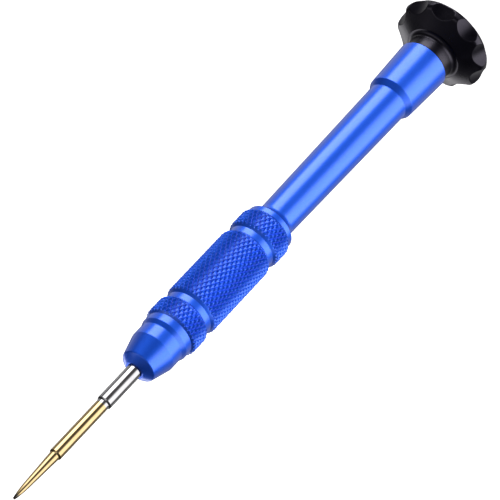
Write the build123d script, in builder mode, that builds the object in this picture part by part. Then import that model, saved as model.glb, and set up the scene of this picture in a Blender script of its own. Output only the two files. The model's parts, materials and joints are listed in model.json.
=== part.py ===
from build123d import *
import os
from math import cos, radians, sin, tan

# Precision screwdriver with a one-piece turned aluminium handle, a pressed-in stepped steel blade and a
# palm cap that turns freely on two miniature ball bearings inside the handle's rear collar.
# Millimetres. +Z runs along the axis from the cap to the driver tip. The origin is the centre of the
# cap's flat end face, so the tool stands on its cap.

os.makedirs("parts", exist_ok=True)

# ---- handle, outer shape, from the rear collar to the nose
COLLAR_REAR_Z = 8.2
COLLAR_REAR_R = 5.325
COLLAR_FRONT_Z = 19.25
COLLAR_FRONT_R = 4.9
STEM_REAR_Z = 20.55
STEM_REAR_R = 4.2
STEM_FRONT_Z = 57.8
STEM_FRONT_R = 3.71
REAR_LAND_Z = 59.8
REAR_LAND_END_Z = 60.9
LAND_R = 5.0
GRIP_R = 5.55
GROOVE_R = 4.97
REAR_RING_Z = 61.65
REAR_RING_END_Z = 64.95
REAR_GROOVE_Z = 65.9
GROOVE_WIDTH = 1.35
MAIN_GRIP_Z = 67.95
MAIN_GRIP_END_Z = 84.5
FRONT_GROOVE_Z = 85.5
FRONT_RING_Z = 87.5
FRONT_RING_END_Z = 91.0
FRONT_LAND_Z = 91.55
FRONT_LAND_END_Z = 93.1
NOSE_REAR_Z = 94.05
NOSE_R = 4.65
NOSE_CONE_Z = 96.7
NOSE_CONE_END_Z = 100.8
NOSE_CONE_END_R = 3.576
NOSE_EDGE_Z = 101.05
NOSE_EDGE_R = 3.42
NOSE_FACE_Z = 102.1
NOSE_FACE_R = 1.9
COLLAR_EDGE_CHAMFER = 0.15

# ---- handle, bores
BEARING_BORE_END_Z = 16.6
RELIEF_BORE_R = 2.7
RELIEF_BORE_END_Z = 18.3
BLADE_BORE_END_Z = 72.0
DRILL_POINT_ANGLE = 59
MOUTH_CHAMFER = 0.2
BLADE_MOUTH_CHAMFER = 0.05

# ---- blade
TIP_Z = 137.4
SHANK_R = 1.5
SHANK_REAR_Z = 72.1
SHANK_END_Z = 111.2
SHANK_STEP_LENGTH = 0.3
BLADE_R = 1.25
BLADE_END_Z = 125.5
TAPER_R = 1.02
TAPER_STEP_LENGTH = 0.3
POINT_Z = 133.8
POINT_R = 0.65
TIP_R = 0.22
SHANK_REAR_CHAMFER = 0.3
TIP_FLUTES = 4
FLUTE_LENGTH = 2.2
FLUTE_ROOT_TIP_R = 0.07
FLUTE_ROOT_BACK_R = 0.62
FLUTE_HEIGHT = 0.6

# ---- swivel cap
CAP_R = 10.0
CAP_END_ROUND = 1.0
CAP_SHOULDER_ROUND = 1.3
CAP_CONE_ANGLE = 30
CAP_CONE_R = 5.9
CAP_CONE_Z = 4.6
HUB_R = 4.9
HUB_FACE_Z = 7.95
HUB_FILLET = 1.0
HUB_EDGE_CHAMFER = 0.15
SCALLOPS = 10
SCALLOP_PHASE = 0.0
SCALLOP_CUTTER_R = 5.5
SCALLOP_TOP_R = 8.45
SCALLOP_TOP_Z = 3.0
SCALLOP_END_R = 9.6
SCALLOP_END_Z = 0.35
SCALLOP_OVERRUN = 4.0
SCALLOP_EDGE_FILLET = 0.25
DISC_R = 7.0
DISC_THICKNESS = 0.8
DISC_EDGE_CHAMFER = 0.12
HEAD_RECESS_R = 2.75
POCKET_INNER_R = 3.6
POCKET_OUTER_R = 6.4
POCKET_DEPTH = 1.8
POCKET_RIBS = 5
RIB_WIDTH = 0.9

# ---- axle and the pieces on it
AXLE_R = 1.5
AXLE_HEAD_R = 2.6
AXLE_HEAD_Z = 0.9
AXLE_HEAD_END_Z = 2.1
AXLE_END_Z = 17.6
AXLE_CHAMFER = 0.2
CLIP_THICKNESS = 0.4
CLIP_GROOVE_R = 1.2
CLIP_GROOVE_WIDTH = 0.44
CLIP_OUTER_R = 2.1
CLIP_GAP = 1.5
WASHER_BORE_R = 1.55
SPACER_R = 2.12

# ---- bearings, each 3 mm bore, 7 mm outside diameter and 3 mm wide
BEARING_OUTER_R = 3.5
BEARING_BORE_R = 1.5
BEARING_WIDTH = 3.0
BEARING_GAP = 2.0
REAR_BEARING_Z = 10.1
FRONT_BEARING_Z = REAR_BEARING_Z + BEARING_WIDTH + BEARING_GAP
BALL_COUNT = 7
BALL_R = 0.49
RACE_GROOVE_R = 0.51
PITCH_R = 2.5
INNER_SHOULDER_R = 2.2
OUTER_SHOULDER_R = 2.8
SHIELD_SEAT_R = 2.95
SHIELD_SEAT_DEPTH = 0.3
SHIELD_BORE_R = 2.27
SHIELD_THICKNESS = 0.15
CAGE_INNER_R = 2.34
CAGE_OUTER_R = 2.66
CAGE_BACK = 0.8
CAGE_FRONT = 0.3
CAGE_POCKET_R = 0.53


def save(builder, name):
    """Label a finished piece and write it."""
    builder.part.label = name
    export_step(builder.part, f"parts/{name}.step")
    print(name, round(builder.part.volume, 3))


def ring_profile(inner_r, outer_r, low_z, high_z):
    """Rectangle in the half-plane X-Z whose revolution is a plain ring."""
    centre = ((inner_r + outer_r) / 2, (low_z + high_z) / 2)
    with Locations(centre):
        Rectangle(outer_r - inner_r, high_z - low_z)


# ---- handle
with BuildPart() as handle:
    with BuildSketch(Plane.XZ):
        with BuildLine():
            Polyline((0, COLLAR_REAR_Z), (COLLAR_REAR_R - COLLAR_EDGE_CHAMFER, COLLAR_REAR_Z),
                     (COLLAR_REAR_R, COLLAR_REAR_Z + COLLAR_EDGE_CHAMFER),
                     (COLLAR_FRONT_R, COLLAR_FRONT_Z), (STEM_REAR_R, STEM_REAR_Z),
                     (STEM_FRONT_R, STEM_FRONT_Z))
            # hollow fillet that rises from the stem to the grip
            TangentArc((STEM_FRONT_R, STEM_FRONT_Z), (LAND_R, REAR_LAND_Z), tangent=(0, 1))
            Polyline((LAND_R, REAR_LAND_Z), (LAND_R, REAR_LAND_END_Z), (GRIP_R, REAR_RING_Z),
                     (GRIP_R, REAR_RING_END_Z), (GROOVE_R, REAR_GROOVE_Z),
                     (GROOVE_R, REAR_GROOVE_Z + GROOVE_WIDTH), (GRIP_R, MAIN_GRIP_Z),
                     (GRIP_R, MAIN_GRIP_END_Z), (GROOVE_R, FRONT_GROOVE_Z),
                     (GROOVE_R, FRONT_GROOVE_Z + GROOVE_WIDTH), (GRIP_R, FRONT_RING_Z),
                     (GRIP_R, FRONT_RING_END_Z), (LAND_R, FRONT_LAND_Z), (LAND_R, FRONT_LAND_END_Z),
                     (NOSE_R, NOSE_REAR_Z), (NOSE_R, NOSE_CONE_Z), (NOSE_CONE_END_R, NOSE_CONE_END_Z))
            cone_run = (NOSE_CONE_END_R - NOSE_R, NOSE_CONE_END_Z - NOSE_CONE_Z)
            # rounded shoulder, then a gently domed end
            shoulder = TangentArc((NOSE_CONE_END_R, NOSE_CONE_END_Z), (NOSE_EDGE_R, NOSE_EDGE_Z),
                                  tangent=cone_run)
            TangentArc((NOSE_EDGE_R, NOSE_EDGE_Z), (NOSE_FACE_R, NOSE_FACE_Z), tangent=shoulder % 1)
            Polyline((NOSE_FACE_R, NOSE_FACE_Z), (0, NOSE_FACE_Z), (0, COLLAR_REAR_Z))
        make_face()
    revolve(axis=Axis.Z)
    # bearing bore with a lead-in, then the relief for the axle's end and its drill point
    with BuildSketch(Plane.XZ):
        relief_point_z = RELIEF_BORE_END_Z + RELIEF_BORE_R / tan(radians(DRILL_POINT_ANGLE)) / 2
        with BuildLine():
            Polyline((0, COLLAR_REAR_Z), (BEARING_OUTER_R + MOUTH_CHAMFER, COLLAR_REAR_Z),
                     (BEARING_OUTER_R, COLLAR_REAR_Z + MOUTH_CHAMFER),
                     (BEARING_OUTER_R, BEARING_BORE_END_Z), (RELIEF_BORE_R, BEARING_BORE_END_Z),
                     (RELIEF_BORE_R, RELIEF_BORE_END_Z), (RELIEF_BORE_R / 2, relief_point_z),
                     (0, relief_point_z), close=True)
        make_face()
    revolve(axis=Axis.Z, mode=Mode.SUBTRACT)
    # blind bore for the blade
    with BuildSketch(Plane.XZ):
        blade_point_z = BLADE_BORE_END_Z - SHANK_R / tan(radians(DRILL_POINT_ANGLE))
        with BuildLine():
            Polyline((0, NOSE_FACE_Z), (SHANK_R + BLADE_MOUTH_CHAMFER, NOSE_FACE_Z),
                     (SHANK_R, NOSE_FACE_Z - BLADE_MOUTH_CHAMFER), (SHANK_R, BLADE_BORE_END_Z),
                     (0, blade_point_z), close=True)
        make_face()
    revolve(axis=Axis.Z, mode=Mode.SUBTRACT)
save(handle, "handle")

# ---- blade: one V groove of the cross point, then the turned blade with its grooves
with BuildPart() as tip_groove:
    for groove_z, root_r in ((TIP_Z, FLUTE_ROOT_TIP_R), (TIP_Z - FLUTE_LENGTH, FLUTE_ROOT_BACK_R)):
        with BuildSketch(Plane.XY.offset(groove_z)):
            outer_r = root_r + FLUTE_HEIGHT
            Polygon((root_r, 0), (outer_r, -FLUTE_HEIGHT), (outer_r, FLUTE_HEIGHT), align=None)
    loft()

with BuildPart() as blade:
    with BuildSketch(Plane.XZ):
        with BuildLine():
            taper_start_z = BLADE_END_Z + TAPER_STEP_LENGTH
            Polyline((0, SHANK_REAR_Z), (SHANK_R - SHANK_REAR_CHAMFER, SHANK_REAR_Z),
                     (SHANK_R, SHANK_REAR_Z + SHANK_REAR_CHAMFER), (SHANK_R, SHANK_END_Z),
                     (BLADE_R, SHANK_END_Z + SHANK_STEP_LENGTH), (BLADE_R, BLADE_END_Z),
                     (TAPER_R, taper_start_z), (POINT_R, POINT_Z))
            taper_run = (POINT_R - TAPER_R, POINT_Z - taper_start_z)
            TangentArc((POINT_R, POINT_Z), (TIP_R, TIP_Z), tangent=taper_run)
            Polyline((TIP_R, TIP_Z), (0, TIP_Z), (0, SHANK_REAR_Z))
        make_face()
    revolve(axis=Axis.Z)
    with PolarLocations(0, TIP_FLUTES, start_angle=180 / TIP_FLUTES):
        add(tip_groove.part, mode=Mode.SUBTRACT)
save(blade, "blade")

# ---- swivel cap
cone_slope = tan(radians(CAP_CONE_ANGLE))
shoulder_centre_r = CAP_R - CAP_SHOULDER_ROUND
# height of the shoulder round's centre, from its tangency with the underside cone
shoulder_centre_z = (CAP_CONE_Z - (shoulder_centre_r - CAP_CONE_R) * cone_slope
                     - CAP_SHOULDER_ROUND / cos(radians(CAP_CONE_ANGLE)))
shoulder_end = (shoulder_centre_r + CAP_SHOULDER_ROUND * sin(radians(CAP_CONE_ANGLE)),
                shoulder_centre_z + CAP_SHOULDER_ROUND * cos(radians(CAP_CONE_ANGLE)))

# scallops lean outwards towards the end face, so each one runs out on the end round
lean = Vector(SCALLOP_END_R - SCALLOP_TOP_R, 0, SCALLOP_END_Z - SCALLOP_TOP_Z).normalized()
outward = Vector(-lean.Z, 0, lean.X)
cutter_start = (Vector(SCALLOP_TOP_R, 0, SCALLOP_TOP_Z) + outward * SCALLOP_CUTTER_R
                - lean * SCALLOP_OVERRUN)

with BuildPart() as scallop_cutter:
    with BuildSketch(Plane(origin=cutter_start, z_dir=lean)):
        Circle(SCALLOP_CUTTER_R)
    extrude(amount=2 * SCALLOP_OVERRUN + SCALLOP_TOP_Z - SCALLOP_END_Z)

with BuildPart() as cap:
    with BuildSketch(Plane.XZ):
        with BuildLine():
            Line((0, 0), (CAP_R - CAP_END_ROUND, 0))
            TangentArc((CAP_R - CAP_END_ROUND, 0), (CAP_R, CAP_END_ROUND), tangent=(1, 0))
            Line((CAP_R, CAP_END_ROUND), (CAP_R, shoulder_centre_z))
            TangentArc((CAP_R, shoulder_centre_z), shoulder_end, tangent=(0, 1))
            Line(shoulder_end, (CAP_CONE_R, CAP_CONE_Z))
            # concave fillet that is tangent to the hub
            hub_fillet_top = (HUB_R, CAP_CONE_Z + HUB_FILLET)
            TangentArc(hub_fillet_top, (CAP_CONE_R, CAP_CONE_Z), tangent=(0, -1))
            Polyline(hub_fillet_top, (HUB_R, HUB_FACE_Z - HUB_EDGE_CHAMFER),
                     (HUB_R - HUB_EDGE_CHAMFER, HUB_FACE_Z), (0, HUB_FACE_Z), (0, 0))
        make_face()
    revolve(axis=Axis.Z)
    with PolarLocations(0, SCALLOPS, start_angle=SCALLOP_PHASE):
        add(scallop_cutter.part, mode=Mode.SUBTRACT)
    # the scallops are the only cylindrical faces that lean
    cylinders = cap.faces().filter_by(GeomType.CYLINDER)
    scallop_faces = cylinders.filter_by(lambda face: abs(face.normal_at().Z) > sin(radians(1)))
    fillet(scallop_faces.edges(), SCALLOP_EDGE_FILLET)
    # recess for the end disc, recess for the axle's head, bore for the axle
    with BuildSketch(Plane.XY):
        Circle(DISC_R)
    extrude(amount=DISC_THICKNESS, mode=Mode.SUBTRACT)
    with BuildSketch(Plane.XY):
        Circle(HEAD_RECESS_R)
    extrude(amount=AXLE_HEAD_END_Z, mode=Mode.SUBTRACT)
    with BuildSketch(Plane.XY):
        Circle(AXLE_R)
    extrude(amount=HUB_FACE_Z, mode=Mode.SUBTRACT)
    # cored ring between the hub and the rim, crossed by ribs
    with BuildSketch(Plane.XY.offset(DISC_THICKNESS)):
        Circle(POCKET_OUTER_R)
        Circle(POCKET_INNER_R, mode=Mode.SUBTRACT)
        with PolarLocations((POCKET_INNER_R + POCKET_OUTER_R) / 2, POCKET_RIBS):
            Rectangle(POCKET_OUTER_R, RIB_WIDTH, mode=Mode.SUBTRACT)
    extrude(amount=POCKET_DEPTH, mode=Mode.SUBTRACT)
save(cap, "cap")

with BuildPart() as cover_disc:
    with BuildSketch(Plane.XY):
        Circle(DISC_R)
    extrude(amount=DISC_THICKNESS)
    chamfer(cover_disc.faces().sort_by(Axis.Z)[0].edges(), DISC_EDGE_CHAMFER)
save(cover_disc, "cover_disc")

# ---- axle pin and what is threaded on it
rear_ring_face_z = REAR_BEARING_Z - BEARING_WIDTH / 2
front_ring_face_z = FRONT_BEARING_Z + BEARING_WIDTH / 2
clip_groove_z = front_ring_face_z

with BuildPart() as axle_pin:
    with BuildSketch(Plane.XZ):
        with BuildLine():
            Polyline((0, AXLE_HEAD_Z), (AXLE_HEAD_R - AXLE_CHAMFER, AXLE_HEAD_Z),
                     (AXLE_HEAD_R, AXLE_HEAD_Z + AXLE_CHAMFER), (AXLE_HEAD_R, AXLE_HEAD_END_Z),
                     (AXLE_R, AXLE_HEAD_END_Z), (AXLE_R, clip_groove_z), (CLIP_GROOVE_R, clip_groove_z),
                     (CLIP_GROOVE_R, clip_groove_z + CLIP_GROOVE_WIDTH),
                     (AXLE_R, clip_groove_z + CLIP_GROOVE_WIDTH), (AXLE_R, AXLE_END_Z - AXLE_CHAMFER),
                     (AXLE_R - AXLE_CHAMFER, AXLE_END_Z), (0, AXLE_END_Z), close=True)
        make_face()
    revolve(axis=Axis.Z)
save(axle_pin, "axle_pin")

with BuildPart() as thrust_washer:
    with BuildSketch(Plane.XZ):
        ring_profile(WASHER_BORE_R, SPACER_R, HUB_FACE_Z, rear_ring_face_z)
    revolve(axis=Axis.Z)
save(thrust_washer, "thrust_washer")

with BuildPart() as retaining_clip:
    with BuildSketch(Plane.XY.offset(clip_groove_z)):
        Circle(CLIP_OUTER_R)
        Circle(CLIP_GROOVE_R, mode=Mode.SUBTRACT)
        with Locations((CLIP_OUTER_R, 0)):
            Rectangle(2 * CLIP_OUTER_R, CLIP_GAP, mode=Mode.SUBTRACT)
    extrude(amount=CLIP_THICKNESS)
save(retaining_clip, "retaining_clip")

spacer_z = (REAR_BEARING_Z + BEARING_WIDTH / 2, FRONT_BEARING_Z - BEARING_WIDTH / 2)

with BuildPart() as inner_spacer:
    with BuildSketch(Plane.XZ):
        ring_profile(WASHER_BORE_R, SPACER_R, *spacer_z)
    revolve(axis=Axis.Z)
save(inner_spacer, "inner_spacer")

with BuildPart() as outer_spacer:
    with BuildSketch(Plane.XZ):
        ring_profile(SHIELD_SEAT_R, BEARING_OUTER_R, *spacer_z)
    revolve(axis=Axis.Z)
save(outer_spacer, "outer_spacer")

# ---- the two bearings
for place, centre_z in (("rear", REAR_BEARING_Z), ("front", FRONT_BEARING_Z)):
    low_z = centre_z - BEARING_WIDTH / 2
    high_z = centre_z + BEARING_WIDTH / 2

    with BuildPart() as outer_ring:
        with BuildSketch(Plane.XZ):
            ring_profile(OUTER_SHOULDER_R, BEARING_OUTER_R, low_z, high_z)
            with Locations((PITCH_R, centre_z)):
                Circle(RACE_GROOVE_R, mode=Mode.SUBTRACT)
            seat_width = SHIELD_SEAT_R - OUTER_SHOULDER_R
            for seat_z in (low_z + SHIELD_SEAT_DEPTH / 2, high_z - SHIELD_SEAT_DEPTH / 2):
                with Locations((OUTER_SHOULDER_R + seat_width / 2, seat_z)):
                    Rectangle(seat_width, SHIELD_SEAT_DEPTH, mode=Mode.SUBTRACT)
        revolve(axis=Axis.Z)
    save(outer_ring, f"{place}_bearing_outer_ring")

    with BuildPart() as inner_ring:
        with BuildSketch(Plane.XZ):
            ring_profile(BEARING_BORE_R, INNER_SHOULDER_R, low_z, high_z)
            with Locations((PITCH_R, centre_z)):
                Circle(RACE_GROOVE_R, mode=Mode.SUBTRACT)
        revolve(axis=Axis.Z)
    save(inner_ring, f"{place}_bearing_inner_ring")

    with BuildPart() as balls:
        with Locations((0, 0, centre_z)):
            with PolarLocations(PITCH_R, BALL_COUNT):
                Sphere(BALL_R)
    save(balls, f"{place}_bearing_balls")

    with BuildPart() as cage:
        with BuildSketch(Plane.XZ):
            ring_profile(CAGE_INNER_R, CAGE_OUTER_R, centre_z - CAGE_BACK, centre_z + CAGE_FRONT)
        revolve(axis=Axis.Z)
        with Locations((0, 0, centre_z)):
            with PolarLocations(PITCH_R, BALL_COUNT):
                Sphere(CAGE_POCKET_R, mode=Mode.SUBTRACT)
    save(cage, f"{place}_bearing_cage")

    shield_offset = BEARING_WIDTH / 2 - SHIELD_SEAT_DEPTH
    for side, shield_z in (("rear", centre_z - shield_offset - SHIELD_THICKNESS),
                           ("front", centre_z + shield_offset)):
        with BuildPart() as shield:
            with BuildSketch(Plane.XZ):
                ring_profile(SHIELD_BORE_R, SHIELD_SEAT_R, shield_z, shield_z + SHIELD_THICKNESS)
            revolve(axis=Axis.Z)
        save(shield, f"{place}_bearing_{side}_shield")
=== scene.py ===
import json
from math import atan2, cos, hypot, pi, radians, sin, tan

import bpy
from mathutils import Matrix, Vector


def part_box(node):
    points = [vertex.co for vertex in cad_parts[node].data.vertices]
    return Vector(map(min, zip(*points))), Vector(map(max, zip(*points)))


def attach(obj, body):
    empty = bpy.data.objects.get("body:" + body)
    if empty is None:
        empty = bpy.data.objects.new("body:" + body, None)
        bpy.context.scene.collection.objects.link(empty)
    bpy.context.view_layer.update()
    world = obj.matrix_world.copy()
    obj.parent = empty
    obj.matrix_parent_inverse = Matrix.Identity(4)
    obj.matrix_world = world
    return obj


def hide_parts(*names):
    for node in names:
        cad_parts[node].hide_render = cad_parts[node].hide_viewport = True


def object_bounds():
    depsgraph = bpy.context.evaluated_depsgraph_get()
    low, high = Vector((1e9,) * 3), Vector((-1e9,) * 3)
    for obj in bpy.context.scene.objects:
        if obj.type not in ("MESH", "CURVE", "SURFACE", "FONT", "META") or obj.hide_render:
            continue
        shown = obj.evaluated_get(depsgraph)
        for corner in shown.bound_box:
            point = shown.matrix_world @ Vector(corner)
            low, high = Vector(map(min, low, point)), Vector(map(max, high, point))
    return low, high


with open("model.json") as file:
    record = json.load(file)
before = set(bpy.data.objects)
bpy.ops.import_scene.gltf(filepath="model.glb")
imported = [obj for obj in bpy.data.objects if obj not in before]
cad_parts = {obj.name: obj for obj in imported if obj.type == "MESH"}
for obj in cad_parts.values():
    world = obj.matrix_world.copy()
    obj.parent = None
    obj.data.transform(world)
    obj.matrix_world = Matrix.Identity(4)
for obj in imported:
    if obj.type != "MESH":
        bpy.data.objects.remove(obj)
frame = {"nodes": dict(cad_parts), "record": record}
cad_low, cad_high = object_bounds()

# Looks of a precision screwdriver that stands on its swivel cap, +Z up the axis to the tip.
# Lengths are in millimetres and become metres when a mesh is made. Angles are in degrees. A pair is a
# corner of an outline, (radius, Z) in the frame, unless its comment says otherwise.
MM = 0.001


def node_span(node):
    """Lowest and highest Z of a CAD node, in millimetres."""
    low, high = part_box(node)
    return low.z / MM, high.z / MM


HANDLE_REAR_Z, HANDLE_FRONT_Z = node_span("handle")
BLADE_REAR_Z, TIP_Z = node_span("blade")

# ---- turned meshes
HANDLE_SEGMENTS = 360
BLADE_SEGMENTS = 128
SHARP_ANGLE = 28
SHOULDER_ARC_POINTS = 10
LONG_ARC_POINTS = 14
POINT_ARC_POINTS = 26
LONG_RUN = 0.5
SUPPORT_GAP = 0.05
EDGE_BREAK = 0.07

# ---- handle, with the first and last Z of each groove
COLLAR_REAR_R = 5.325
COLLAR_FRONT = (4.9, 19.25)
STEM_REAR = (4.2, 20.55)
STEM_FRONT = (3.71, 57.8)
LAND_R = 5.0
GRIP_R = 5.55
GROOVE_R = 4.97
REAR_LAND_Z = 59.8
REAR_GROOVE = (65.9, 67.25)
FRONT_GROOVE = (85.5, 86.85)
FRONT_LAND_END_Z = 93.1
NOSE_R = 4.65
NOSE_REAR_Z = 94.05
NOSE_CONE = ((4.65, 96.7), (3.576, 100.8))
NOSE_EDGE = (3.42, 101.05)
NOSE_FACE_R = 1.9
BEARING_BORE = (3.5, 16.6)
RELIEF_BORE = (2.7, 18.3)
MOUTH_CHAMFER = 0.2
BLADE_BORE_R = 1.5
BLADE_BORE_END_Z = 72.0
BLADE_MOUTH_CHAMFER = 0.05
DRILL_POINT_ANGLE = 59

# ---- rolled diamond knurl, with the first and last Z of each band and of all three
KNURL_STARTS = 36
KNURL_PITCH = 1.68
KNURL_DEPTH = 0.3
KNURL_CREST_SHARE = 0.2
KNURL_BANDS = ((61.65, 64.95), (67.95, 84.5), (87.5, 91.0))
KNURL_SPAN = (60.9, 91.55)
UNKNURLED_BELOW_R = GROOVE_R - 0.2
ROWS_PER_PITCH = HANDLE_SEGMENTS // KNURL_STARTS
ROW_STEP = KNURL_PITCH / ROWS_PER_PITCH
NEAREST_ROW = 0.3 * ROW_STEP

# ---- blade
SHANK_R = 1.5
SHANK_REAR_CHAMFER = 0.3
SHANK_STEP = ((1.5, 111.14), (1.45, 111.2), (1.28, 111.47), (1.25, 111.53))
TAPER_STEP = ((1.25, 125.45), (1.21, 125.52), (1.02, 125.8))
POINT_START = (0.65, 133.8)
POINT_END_R = 0.22
GOLD_START_Z = 112.15
GOLD_END_Z = 136.45
FLUTES = 4
FLUTE_LENGTH = 2.2
FLUTE_ROOT_TIP_R = 0.07
FLUTE_ROOT_BACK_R = 0.62

# ---- the photograph's point of view, with the seen depth in metres
VIEW_AZIMUTH = -7.5
VIEW_ELEVATION = 32.5
VIEW_ROLL = -136.744
VIEW_DISTANCE = 648.15
VIEW_TARGET_Z = 66.5
VIEW_SIDE = 0.195
VIEW_DOWN = 0.184
SENSOR_WIDTH = 36.0
LENS = 252.0
SEEN_FROM = 0.05
SEEN_TO = 100.0

# ---- usual range of a noise texture
NOISE_LOW = 0.3
NOISE_HIGH = 0.7


# ======== meshes ========
def arc_points(start, end, tangent, count):
    """Points of the arc that leaves start along tangent and arrives at end, without start itself."""
    length = hypot(*tangent)
    normal = (-tangent[1] / length, tangent[0] / length)
    chord = (end[0] - start[0], end[1] - start[1])
    across = chord[0] * normal[0] + chord[1] * normal[1]
    radius = (chord[0] ** 2 + chord[1] ** 2) / (2 * across)
    centre = (start[0] + normal[0] * radius, start[1] + normal[1] * radius)
    first = atan2(start[1] - centre[1], start[0] - centre[0])
    sweep = atan2(end[1] - centre[1], end[0] - centre[0]) - first
    direction = 1 if radius > 0 else -1
    while sweep * direction < 0:
        sweep += direction * 2 * pi
    return [(centre[0] + abs(radius) * cos(first + sweep * step / count),
             centre[1] + abs(radius) * sin(first + sweep * step / count))
            for step in range(1, count + 1)]


def lathe(name, outline, segments, radius_at=None, shared_diagonal=None):
    """Closed mesh turned about Z from an outline that starts and ends on the axis.

    radius_at(radius, z, angle) gives the finished radius and a relief value from 0 to 1. The relief is
    kept as a point attribute for the material. shared_diagonal(column, row) is +1 or -1 where a quad is
    split along one diagonal, and 0 where it stays whole.
    """
    points = [(0.0, 0.0, outline[0][1] * MM)]
    relief = [0.0]
    rings = []
    for radius, z in outline[1:-1]:
        rings.append(len(points))
        for column in range(segments):
            angle = 2 * pi * column / segments
            made, depth = radius_at(radius, z, angle) if radius_at else (radius, 0.0)
            points.append((made * cos(angle) * MM, made * sin(angle) * MM, z * MM))
            relief.append(depth)
    points.append((0.0, 0.0, outline[-1][1] * MM))
    relief.append(0.0)

    faces = []
    for column in range(segments):
        after = (column + 1) % segments
        faces.append((0, rings[0] + after, rings[0] + column))
        for row, (low, high) in enumerate(zip(rings, rings[1:])):
            corners = (low + column, low + after, high + after, high + column)
            split = shared_diagonal(column, row) if shared_diagonal else 0
            if split > 0:
                faces.append((corners[0], corners[1], corners[2]))
                faces.append((corners[0], corners[2], corners[3]))
            elif split < 0:
                faces.append((corners[0], corners[1], corners[3]))
                faces.append((corners[1], corners[2], corners[3]))
            else:
                faces.append(corners)
        faces.append((rings[-1] + column, rings[-1] + after, len(points) - 1))

    mesh = bpy.data.meshes.new(name)
    mesh.from_pydata(points, [], faces)
    mesh.polygons.foreach_set("use_smooth", [True] * len(mesh.polygons))
    mesh.set_sharp_from_angle(angle=radians(SHARP_ANGLE))
    mesh.attributes.new("relief", "FLOAT", "POINT").data.foreach_set("value", relief)
    mesh.update()
    piece = bpy.data.objects.new(name, mesh)
    bpy.context.scene.collection.objects.link(piece)
    return piece


def supported(outline):
    """The outline with an extra point close to each end of its long runs, which keeps flat runs flat."""
    made = [outline[0]]
    for start, end in zip(outline, outline[1:]):
        run = (end[0] - start[0], end[1] - start[1])
        length = hypot(*run)
        if length > LONG_RUN and start[0] > 0 and end[0] > 0:
            for share in (SUPPORT_GAP / length, 1 - SUPPORT_GAP / length):
                made.append((start[0] + run[0] * share, start[1] + run[1] * share))
        made.append(end)
    return made


def grip_outline():
    """Outline of the knurled part, with rows that follow the knurl's lattice."""
    (rear, rear_end), (main, main_end), (front, front_end) = KNURL_BANDS
    start, end = KNURL_SPAN
    corners = [(LAND_R, start), (GRIP_R, rear), (GRIP_R, rear_end), (GROOVE_R, REAR_GROOVE[0]),
               (GROOVE_R, REAR_GROOVE[1]), (GRIP_R, main), (GRIP_R, main_end), (GROOVE_R, FRONT_GROOVE[0]),
               (GROOVE_R, FRONT_GROOVE[1]), (GRIP_R, front), (GRIP_R, front_end), (LAND_R, end)]
    row_count = int((end - start) / ROW_STEP)
    made = [corners[0]]
    for (radius, z), (next_radius, next_z) in zip(corners, corners[1:]):
        for row in range(row_count + 1):
            row_z = start + row * ROW_STEP
            if z + NEAREST_ROW < row_z < next_z - NEAREST_ROW:
                share = (row_z - z) / (next_z - z)
                made.append((radius + (next_radius - radius) * share, row_z))
        made.append((next_radius, next_z))
    return made


def knurled_radius(radius, z, angle):
    """Radius after the two crossed sets of V grooves are rolled in, and how deep in a groove it is."""
    start, end = KNURL_SPAN
    if not start < z < end or radius < UNKNURLED_BELOW_R:
        return radius, 0.0
    turns = KNURL_STARTS * angle / (2 * pi)
    rise = (z - start) / KNURL_PITCH
    flanks = [1 - abs(2 * (value % 1.0) - 1) for value in (turns + rise, turns - rise)]
    height = min(1.0, min(flanks) / (1 - KNURL_CREST_SHARE))
    rolled = GRIP_R - KNURL_DEPTH * (1 - height)
    return min(radius, rolled), max(0.0, 1 - height) if rolled < radius else 0.0


def broken(before, corner, after):
    """Two points in place of a corner, where its sharp edge is broken."""
    made = []
    for towards in (before, after):
        run = (towards[0] - corner[0], towards[1] - corner[1])
        share = EDGE_BREAK / hypot(*run)
        made.append((corner[0] + run[0] * share, corner[1] + run[1] * share))
    return made


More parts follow.
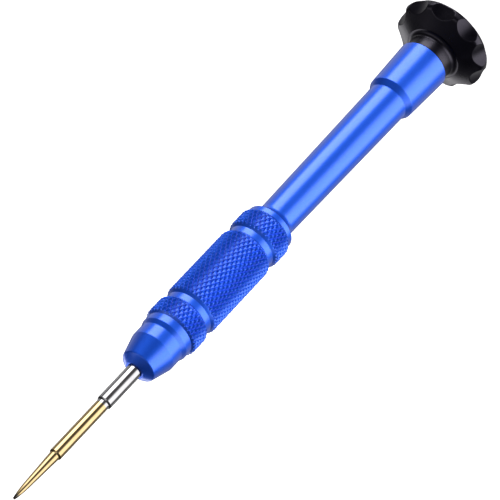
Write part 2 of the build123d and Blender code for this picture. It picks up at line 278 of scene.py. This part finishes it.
def make_handle():
    """The bored and knurled handle, whose outline runs from the rear bore round to the blade's bore."""
    rear = HANDLE_REAR_Z
    front = HANDLE_FRONT_Z
    point_depth = RELIEF_BORE[0] / 2 / tan(radians(DRILL_POINT_ANGLE))
    bearing_bore = [(0, RELIEF_BORE[1] + point_depth), (RELIEF_BORE[0] / 2, RELIEF_BORE[1] + point_depth),
                    RELIEF_BORE, (RELIEF_BORE[0], BEARING_BORE[1]), BEARING_BORE,
                    (BEARING_BORE[0], rear + MOUTH_CHAMFER), (BEARING_BORE[0] + MOUTH_CHAMFER, rear)]
    collar = broken((0, rear), (COLLAR_REAR_R, rear), COLLAR_FRONT)
    neck = broken((COLLAR_REAR_R, rear), COLLAR_FRONT, STEM_REAR)
    neck += broken(COLLAR_FRONT, STEM_REAR, STEM_FRONT)
    land_fillet = arc_points(STEM_FRONT, (LAND_R - EDGE_BREAK / 2, REAR_LAND_Z), (0, 1), LONG_ARC_POINTS)
    grip = grip_outline()
    land_end = (LAND_R, FRONT_LAND_END_Z)
    nose_start = (NOSE_R, NOSE_REAR_Z)
    nose = broken((LAND_R, KNURL_SPAN[1]), land_end, nose_start)
    nose += broken(land_end, nose_start, NOSE_CONE[0])
    nose += broken(nose_start, *NOSE_CONE)
    cone_run = (NOSE_CONE[1][0] - NOSE_CONE[0][0], NOSE_CONE[1][1] - NOSE_CONE[0][1])
    shoulder = arc_points(NOSE_CONE[1], NOSE_EDGE, cone_run, SHOULDER_ARC_POINTS)
    shoulder_turn = 2 * (atan2(NOSE_EDGE[1] - NOSE_CONE[1][1], NOSE_EDGE[0] - NOSE_CONE[1][0])
                         - atan2(cone_run[1], cone_run[0]))
    dome_run = (cone_run[0] * cos(shoulder_turn) - cone_run[1] * sin(shoulder_turn),
                cone_run[0] * sin(shoulder_turn) + cone_run[1] * cos(shoulder_turn))
    dome = arc_points(NOSE_EDGE, (NOSE_FACE_R, front), dome_run, LONG_ARC_POINTS)
    nose += [NOSE_CONE[1], *shoulder, *dome]
    blade_bore = [(BLADE_BORE_R + BLADE_MOUTH_CHAMFER, front),
                  (BLADE_BORE_R, front - BLADE_MOUTH_CHAMFER),
                  (BLADE_BORE_R, BLADE_BORE_END_Z),
                  (0, BLADE_BORE_END_Z - BLADE_BORE_R / tan(radians(DRILL_POINT_ANGLE)))]
    outline = supported([*bearing_bore, *collar, *neck, STEM_FRONT, *land_fillet,
                         (LAND_R, REAR_LAND_Z + EDGE_BREAK), *grip, *nose, *blade_bore])
    first_row = outline.index(grip[0]) - 1
    last_row = first_row + len(grip) - 1

    def knurl_diagonal(column, row):
        """Which way a quad of the grip is split, so that its edges follow the grooves."""
        if not first_row <= row < last_row:
            return 0
        step = round((outline[row + 1][1] - KNURL_SPAN[0]) / ROW_STEP)
        half = ROWS_PER_PITCH // 2
        if (column - step) % half == 0:
            return 1
        if (column + step + 1) % half == 0:
            return -1
        return 1

    handle = lathe("handle_shell", outline, HANDLE_SEGMENTS, knurled_radius, knurl_diagonal)
    finish_piece(handle, "handle", "handle", anodised_aluminium())


def flute_radius(radius, z, angle):
    """Radius of the blade's point where the cross grooves cut into it."""
    back = (TIP_Z - z) / FLUTE_LENGTH
    if back > 1:
        return radius, 0.0
    root = FLUTE_ROOT_TIP_R + (FLUTE_ROOT_BACK_R - FLUTE_ROOT_TIP_R) * back
    spacing = 2 * pi / FLUTES
    off_root = (angle % spacing) - spacing / 2
    opening = cos(off_root) - abs(sin(off_root))
    cut = root / opening if opening > 1e-6 else radius
    return (cut, 1.0) if cut < radius else (radius, 0.0)


def make_blade():
    """The stepped blade, from the end in the handle to the fluted point."""
    rear = BLADE_REAR_Z
    taper_start = TAPER_STEP[-1]
    taper_run = (POINT_START[0] - taper_start[0], POINT_START[1] - taper_start[1])
    point_arc = arc_points(POINT_START, (POINT_END_R, TIP_Z), taper_run, POINT_ARC_POINTS)
    outline = [(0, rear), (SHANK_R - SHANK_REAR_CHAMFER, rear), (SHANK_R, rear + SHANK_REAR_CHAMFER),
               *SHANK_STEP, *TAPER_STEP, POINT_START, *point_arc, (0, TIP_Z)]
    blade = lathe("driver_blade", supported(outline), BLADE_SEGMENTS, flute_radius)
    finish_piece(blade, "blade", "handle", coated_blade_steel())


def finish_piece(piece, node, body, material):
    """Gives a new piece its material and puts it in the place of a CAD node."""
    piece.data.materials.append(material)
    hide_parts(node)
    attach(piece, body)


# ======== materials ========
def add_node(tree, kind, values=None, **settings):
    """A node with its settings, and a value or a link for each of its inputs."""
    made = tree.nodes.new(kind)
    for setting, value in settings.items():
        setattr(made, setting, value)
    for socket, value in (values or {}).items():
        if isinstance(value, bpy.types.NodeSocket):
            tree.links.new(value, made.inputs[socket])
        else:
            made.inputs[socket].default_value = value
    return made


class Surface:
    """A material of one Principled shader and the textures that feed it."""

    def __init__(self, name, **constants):
        self.material = bpy.data.materials.new(name)
        self.material.use_nodes = True
        self.tree = self.material.node_tree
        self.shader = self.tree.nodes["Principled BSDF"]
        for socket, value in constants.items():
            self.shader.inputs[socket.replace("_", " ")].default_value = value
        self.place = self.add("ShaderNodeTexCoord").outputs["Object"]

    def add(self, kind, values=None, **settings):
        return add_node(self.tree, kind, values, **settings)

    def math(self, operation, first, second=0.0):
        """Result of one operation on two values."""
        return self.add("ShaderNodeMath", {0: first, 1: second}, operation=operation).outputs[0]

    def noise(self, per_mm, detail=2.0):
        """Noise with its own number of cells per millimetre along X, Y and Z."""
        scale = [value / MM for value in per_mm]
        stretched = self.add("ShaderNodeVectorMath", {0: self.place, 1: scale}, operation="MULTIPLY")
        values = {"Vector": stretched.outputs[0], "Scale": 1.0, "Detail": detail, "Roughness": 0.5}
        return self.add("ShaderNodeTexNoise", values).outputs[0]

    def spread(self, value, low, high):
        """Noise moved from its usual range to low..high."""
        values = {"Value": value, "From Min": NOISE_LOW, "From Max": NOISE_HIGH,
                  "To Min": low, "To Max": high}
        return self.add("ShaderNodeMapRange", values).outputs[0]

    def step_along_z(self, z, width):
        """0 below z and 1 above it, in millimetres, over a soft width."""
        height = self.add("ShaderNodeSeparateXYZ", {0: self.place}).outputs["Z"]
        values = {"Value": height, "From Min": (z - width / 2) * MM, "From Max": (z + width / 2) * MM}
        return self.add("ShaderNodeMapRange", values, interpolation_type="SMOOTHSTEP").outputs[0]

    def off_axis(self):
        """Distance from the tool's axis, in metres."""
        flat = self.add("ShaderNodeVectorMath", {0: self.place, 1: (1, 1, 0)}, operation="MULTIPLY")
        return self.add("ShaderNodeVectorMath", {0: flat.outputs[0]}, operation="LENGTH").outputs["Value"]

    def mix(self, share, first, second):
        """Colour between first and second."""
        colours = [value if isinstance(value, bpy.types.NodeSocket) else (*value, 1.0)
                   for value in (first, second)]
        values = {0: share, 6: colours[0], 7: colours[1]}
        return self.add("ShaderNodeMix", values, data_type="RGBA").outputs[2]

    def attribute(self, name):
        """Value that the mesh carries at each of its points."""
        return self.add("ShaderNodeAttribute", attribute_name=name).outputs["Fac"]

    def bump(self, height, depth_mm, below=None):
        """Normal after a fine relief, on top of the relief below it."""
        values = {"Height": height, "Distance": depth_mm * MM, "Strength": 1.0}
        if below is not None:
            values["Normal"] = below
        return self.add("ShaderNodeBump", values).outputs[0]

    def feed(self, **sockets):
        """Links textures to the shader and gives the finished material."""
        for socket, value in sockets.items():
            self.tree.links.new(value, self.shader.inputs[socket.replace("_", " ")])
        return self.material


def anodised_aluminium():
    surface = Surface("blue_anodised_aluminium", Metallic=1.0, Coat_Weight=1.0, Coat_IOR=1.52,
                      Coat_Roughness=0.2)
    grain = surface.noise((7, 7, 7), detail=4)
    turning = surface.noise((0.3, 0.3, 11), detail=3)
    cloud = surface.noise((0.25, 0.25, 0.12), detail=2)
    relief = surface.attribute("relief")
    plain = surface.mix(surface.spread(cloud, 0, 1), (0.023, 0.145, 0.79), (0.029, 0.16, 0.84))
    speckled = surface.mix(surface.spread(grain, 0, 0.25), plain, (0.019, 0.12, 0.74))
    # Painted shade: the blue darkens towards the bottom of the knurl's grooves, by the relief that the mesh
    # carries.
    colour = surface.mix(surface.math("MULTIPLY", relief, 0.4), speckled, (0.012, 0.10, 0.62))
    normal = surface.bump(turning, 0.0025)
    normal = surface.bump(grain, 0.002, normal)
    return surface.feed(Base_Color=colour, Roughness=surface.spread(grain, 0.5, 0.58), Normal=normal)


def coated_blade_steel():
    surface = Surface("ground_steel_with_gold_coating", Metallic=1.0)
    grinding = surface.noise((0.5, 0.5, 24), detail=3)
    smudge = surface.noise((0.9, 0.9, 0.35), detail=3)
    steel = surface.mix(surface.spread(smudge, 0, 1), (0.30, 0.295, 0.305), (0.36, 0.355, 0.365))
    gold = surface.mix(surface.spread(smudge, 0, 1), (0.37, 0.281, 0.15), (0.43, 0.33, 0.186))
    dark = surface.mix(surface.spread(smudge, 0, 1), (0.15, 0.138, 0.12), (0.22, 0.205, 0.18))
    colour = surface.mix(surface.step_along_z(GOLD_START_Z, 0.08), steel, gold)
    colour = surface.mix(surface.step_along_z(GOLD_END_Z, 0.5), colour, dark)
    # Painted shade: the cut cross grooves of the point are darkened towards brown, by the relief that the
    # mesh carries.
    flute_painted_shade = surface.math("MULTIPLY", surface.attribute("relief"), 0.5)
    colour = surface.mix(flute_painted_shade, colour, (0.2, 0.17, 0.12))
    normal = surface.bump(grinding, 0.0012)
    return surface.feed(Base_Color=colour, Roughness=surface.spread(smudge, 0.1, 0.16), Normal=normal)


def cap_plastic():
    surface = Surface("black_moulded_plastic", IOR=1.52, Specular_Tint=(0.88, 0.82, 1.0, 1.0))
    grain = surface.noise((6, 6, 6), detail=4)
    flow = surface.noise((0.35, 0.35, 0.5), detail=3)
    colour = surface.mix(surface.spread(flow, 0, 1), (0.0016, 0.0014, 0.0042), (0.0030, 0.0026, 0.0070))
    normal = surface.bump(grain, 0.004)
    return surface.feed(Base_Color=colour, Roughness=surface.spread(flow, 0.26, 0.36), Normal=normal)


def disc_plastic():
    surface = Surface("matt_black_disc", IOR=1.5)
    grain = surface.noise((10, 10, 10), detail=4)
    rings = surface.math("SINE", surface.math("MULTIPLY", surface.off_axis(), 2 * pi / (0.35 * MM)))
    colour = surface.mix(surface.spread(grain, 0, 1), (0.010, 0.010, 0.012), (0.018, 0.018, 0.021))
    normal = surface.bump(rings, 0.006)
    normal = surface.bump(grain, 0.004, normal)
    return surface.feed(Base_Color=colour, Roughness=surface.spread(grain, 0.42, 0.55), Normal=normal)


def turned_metal(name, dark, light, roughness):
    """Bright metal with fine lines round the axis."""
    surface = Surface(name, Metallic=1.0)
    lines = surface.noise((0.4, 0.4, 18), detail=3)
    cloud = surface.noise((1.2, 1.2, 1.2), detail=3)
    colour = surface.mix(surface.spread(cloud, 0, 1), dark, light)
    normal = surface.bump(lines, 0.0015)
    return surface.feed(Base_Color=colour, Roughness=surface.spread(cloud, *roughness), Normal=normal)


def cage_nylon():
    surface = Surface("natural_nylon", IOR=1.53, Subsurface_Weight=0.15, Subsurface_Scale=0.0004)
    cloud = surface.noise((2.5, 2.5, 2.5), detail=3)
    colour = surface.mix(surface.spread(cloud, 0, 1), (0.66, 0.60, 0.45), (0.76, 0.71, 0.57))
    normal = surface.bump(surface.noise((14, 14, 14)), 0.002)
    return surface.feed(Base_Color=colour, Roughness=surface.spread(cloud, 0.38, 0.5), Normal=normal)


def dress_cad_nodes():
    """Gives each CAD node that stays in sight its finished material, by its material slot."""
    finishes = {
        "cap_plastic": cap_plastic(),
        "disc_plastic": disc_plastic(),
        "cage_nylon": cage_nylon(),
        "bearing_steel": turned_metal("polished_bearing_steel",
                                      (0.60, 0.60, 0.61), (0.70, 0.70, 0.71), (0.1, 0.16)),
        "shield_steel": turned_metal("pressed_shield_steel",
                                     (0.48, 0.48, 0.48), (0.58, 0.58, 0.58), (0.26, 0.36)),
        "spacer_brass": turned_metal("turned_brass",
                                     (0.62, 0.44, 0.17), (0.74, 0.56, 0.25), (0.22, 0.32)),
        "axle_steel": turned_metal("ground_axle_steel",
                                   (0.46, 0.46, 0.47), (0.56, 0.56, 0.57), (0.2, 0.3)),
    }
    for part in frame["record"]["subparts"]:
        finish = finishes.get(part["material_slot"])
        if finish is not None:
            frame["nodes"][part["node"]].data.materials[0] = finish


# ======== light, floor and camera ========
# Softboxes of the surrounding studio. Azimuth is measured from the camera's side, positive to the
# right hand of somebody who looks from the object to the camera; elevation is above the horizon.
SOFTBOXES = (
    # azimuth from, to, softness, elevation from, to, softness, strength
    (-78, -30, 8, -55, -18, 10, 4.0),
    (21, 84, 14, -52, 15, 9, 2.5),
    (-32, 21, 12, -52, -17, 8, 0.14),
    (-152, -94, 12, -55, -10, 12, 0.55),
    (104, 158, 12, -55, -4, 12, 0.36),
    (-105, -5, 16, 33, 54, 9, 0.9),
    (-150, 60, 25, 26, 95, 16, 0.12),
    (152, 178, 8, -8, 55, 9, 1.8),
    (-178, -152, 8, -8, 55, 9, 1.8),
)
AMBIENT = 0.06
CAMERA_BACKDROP = 1.0
FLOOR_SIZE_M = 24.0
FLOOR_GAP = 0.02
FLOOR_GLOW = 0.9


def make_world():
    """Studio light from the softboxes, which the camera sees as a plain white backdrop."""
    world = bpy.data.worlds.new("studio")
    world.use_nodes = True
    bpy.context.scene.world = world
    tree = world.node_tree
    background = tree.nodes["Background"]
    background.inputs["Color"].default_value = (1.0, 1.0, 1.0, 1.0)
    direction = add_node(tree, "ShaderNodeTexCoord").outputs["Generated"]

    def along(vector):
        values = {0: direction, 1: vector}
        return add_node(tree, "ShaderNodeVectorMath", values, operation="DOT_PRODUCT").outputs["Value"]

    def math(operation, first, second=0.0):
        return add_node(tree, "ShaderNodeMath", {0: first, 1: second}, operation=operation).outputs[0]

    def ramp(value, edge, softness, at_low, at_high):
        values = {"Value": value, "From Min": radians(edge - softness), "From Max": radians(edge + softness),
                  "To Min": at_low, "To Max": at_high}
        return add_node(tree, "ShaderNodeMapRange", values, interpolation_type="SMOOTHSTEP").outputs[0]

    def window(value, low, high, softness):
        """1 between two angles and 0 outside them, with soft edges."""
        return math("MULTIPLY", ramp(value, low, softness, 0.0, 1.0), ramp(value, high, softness, 1.0, 0.0))

    turn = radians(VIEW_AZIMUTH)
    to_camera = (sin(turn), -cos(turn), 0.0)
    to_right = (-cos(turn), -sin(turn), 0.0)
    azimuth = math("ARCTAN2", along(to_right), along(to_camera))
    elevation = math("ARCSINE", along((0, 0, 1)))
    light = AMBIENT
    for left, right, side_softness, low, high, rise_softness, strength in SOFTBOXES:
        across = window(azimuth, left, right, side_softness)
        upward = window(elevation, low, high, rise_softness)
        panel = math("MULTIPLY", math("MULTIPLY", across, upward), strength)
        light = math("ADD", panel, light)
    from_camera = add_node(tree, "ShaderNodeLightPath").outputs["Is Camera Ray"]
    seen = add_node(tree, "ShaderNodeMix", {0: from_camera, 2: light, 3: CAMERA_BACKDROP}).outputs[0]
    tree.links.new(seen, background.inputs["Strength"])


def make_floor():
    """Pale light table under the object. Only the camera sees it, so it sends no light to the object."""
    half = FLOOR_SIZE_M / 2
    corners = [(-half, -half, 0), (half, -half, 0), (half, half, 0), (-half, half, 0)]
    mesh = bpy.data.meshes.new("floor")
    mesh.from_pydata(corners, [], [(0, 1, 2, 3)])
    floor = bpy.data.objects.new("floor", mesh)
    bpy.context.scene.collection.objects.link(floor)
    floor.location.z = cad_low.z - FLOOR_GAP * MM
    for ray in ("diffuse", "glossy", "transmission", "volume_scatter", "shadow"):
        setattr(floor, f"visible_{ray}", False)
    surface = Surface("pale_light_table", Roughness=0.9, Emission_Strength=FLOOR_GLOW)
    mottle = surface.noise((0.02, 0.02, 0.02), detail=3)
    colour = surface.mix(surface.spread(mottle, 0, 1), (0.86, 0.86, 0.86), (0.90, 0.90, 0.90))
    glow = surface.mix(surface.spread(mottle, 0, 1), (0.98, 0.98, 0.98), (1.0, 1.0, 1.0))
    floor.data.materials.append(surface.feed(Base_Color=colour, Emission_Color=glow))


def make_camera():
    """Camera of the photograph, aimed at the axis and then moved a little in its own plane."""
    azimuth, elevation, roll = (radians(value) for value in (VIEW_AZIMUTH, VIEW_ELEVATION, VIEW_ROLL))
    forward = Vector((-sin(azimuth) * cos(elevation), cos(azimuth) * cos(elevation), -sin(elevation)))
    level = forward.cross(Vector((0, 0, 1))).normalized()
    raised = level.cross(forward)
    right = level * cos(roll) + raised * sin(roll)
    up = raised * cos(roll) - level * sin(roll)
    target = Vector((0, 0, VIEW_TARGET_Z))
    place = target - forward * VIEW_DISTANCE + right * VIEW_SIDE - up * VIEW_DOWN
    data = bpy.data.cameras.new("camera")
    data.sensor_width = SENSOR_WIDTH
    data.lens = LENS
    data.clip_start = SEEN_FROM
    data.clip_end = SEEN_TO
    camera = bpy.data.objects.new("camera", data)
    bpy.context.scene.collection.objects.link(camera)
    turned = Matrix((right, up, -forward)).transposed()
    camera.matrix_world = Matrix.Translation(place * MM) @ turned.to_4x4()
    bpy.context.scene.camera = camera


make_handle()
make_blade()
dress_cad_nodes()
make_world()
make_floor()
make_camera()
bpy.context.scene.view_settings.view_transform = "Standard"
bpy.context.scene.view_settings.look = "Medium High Contrast"
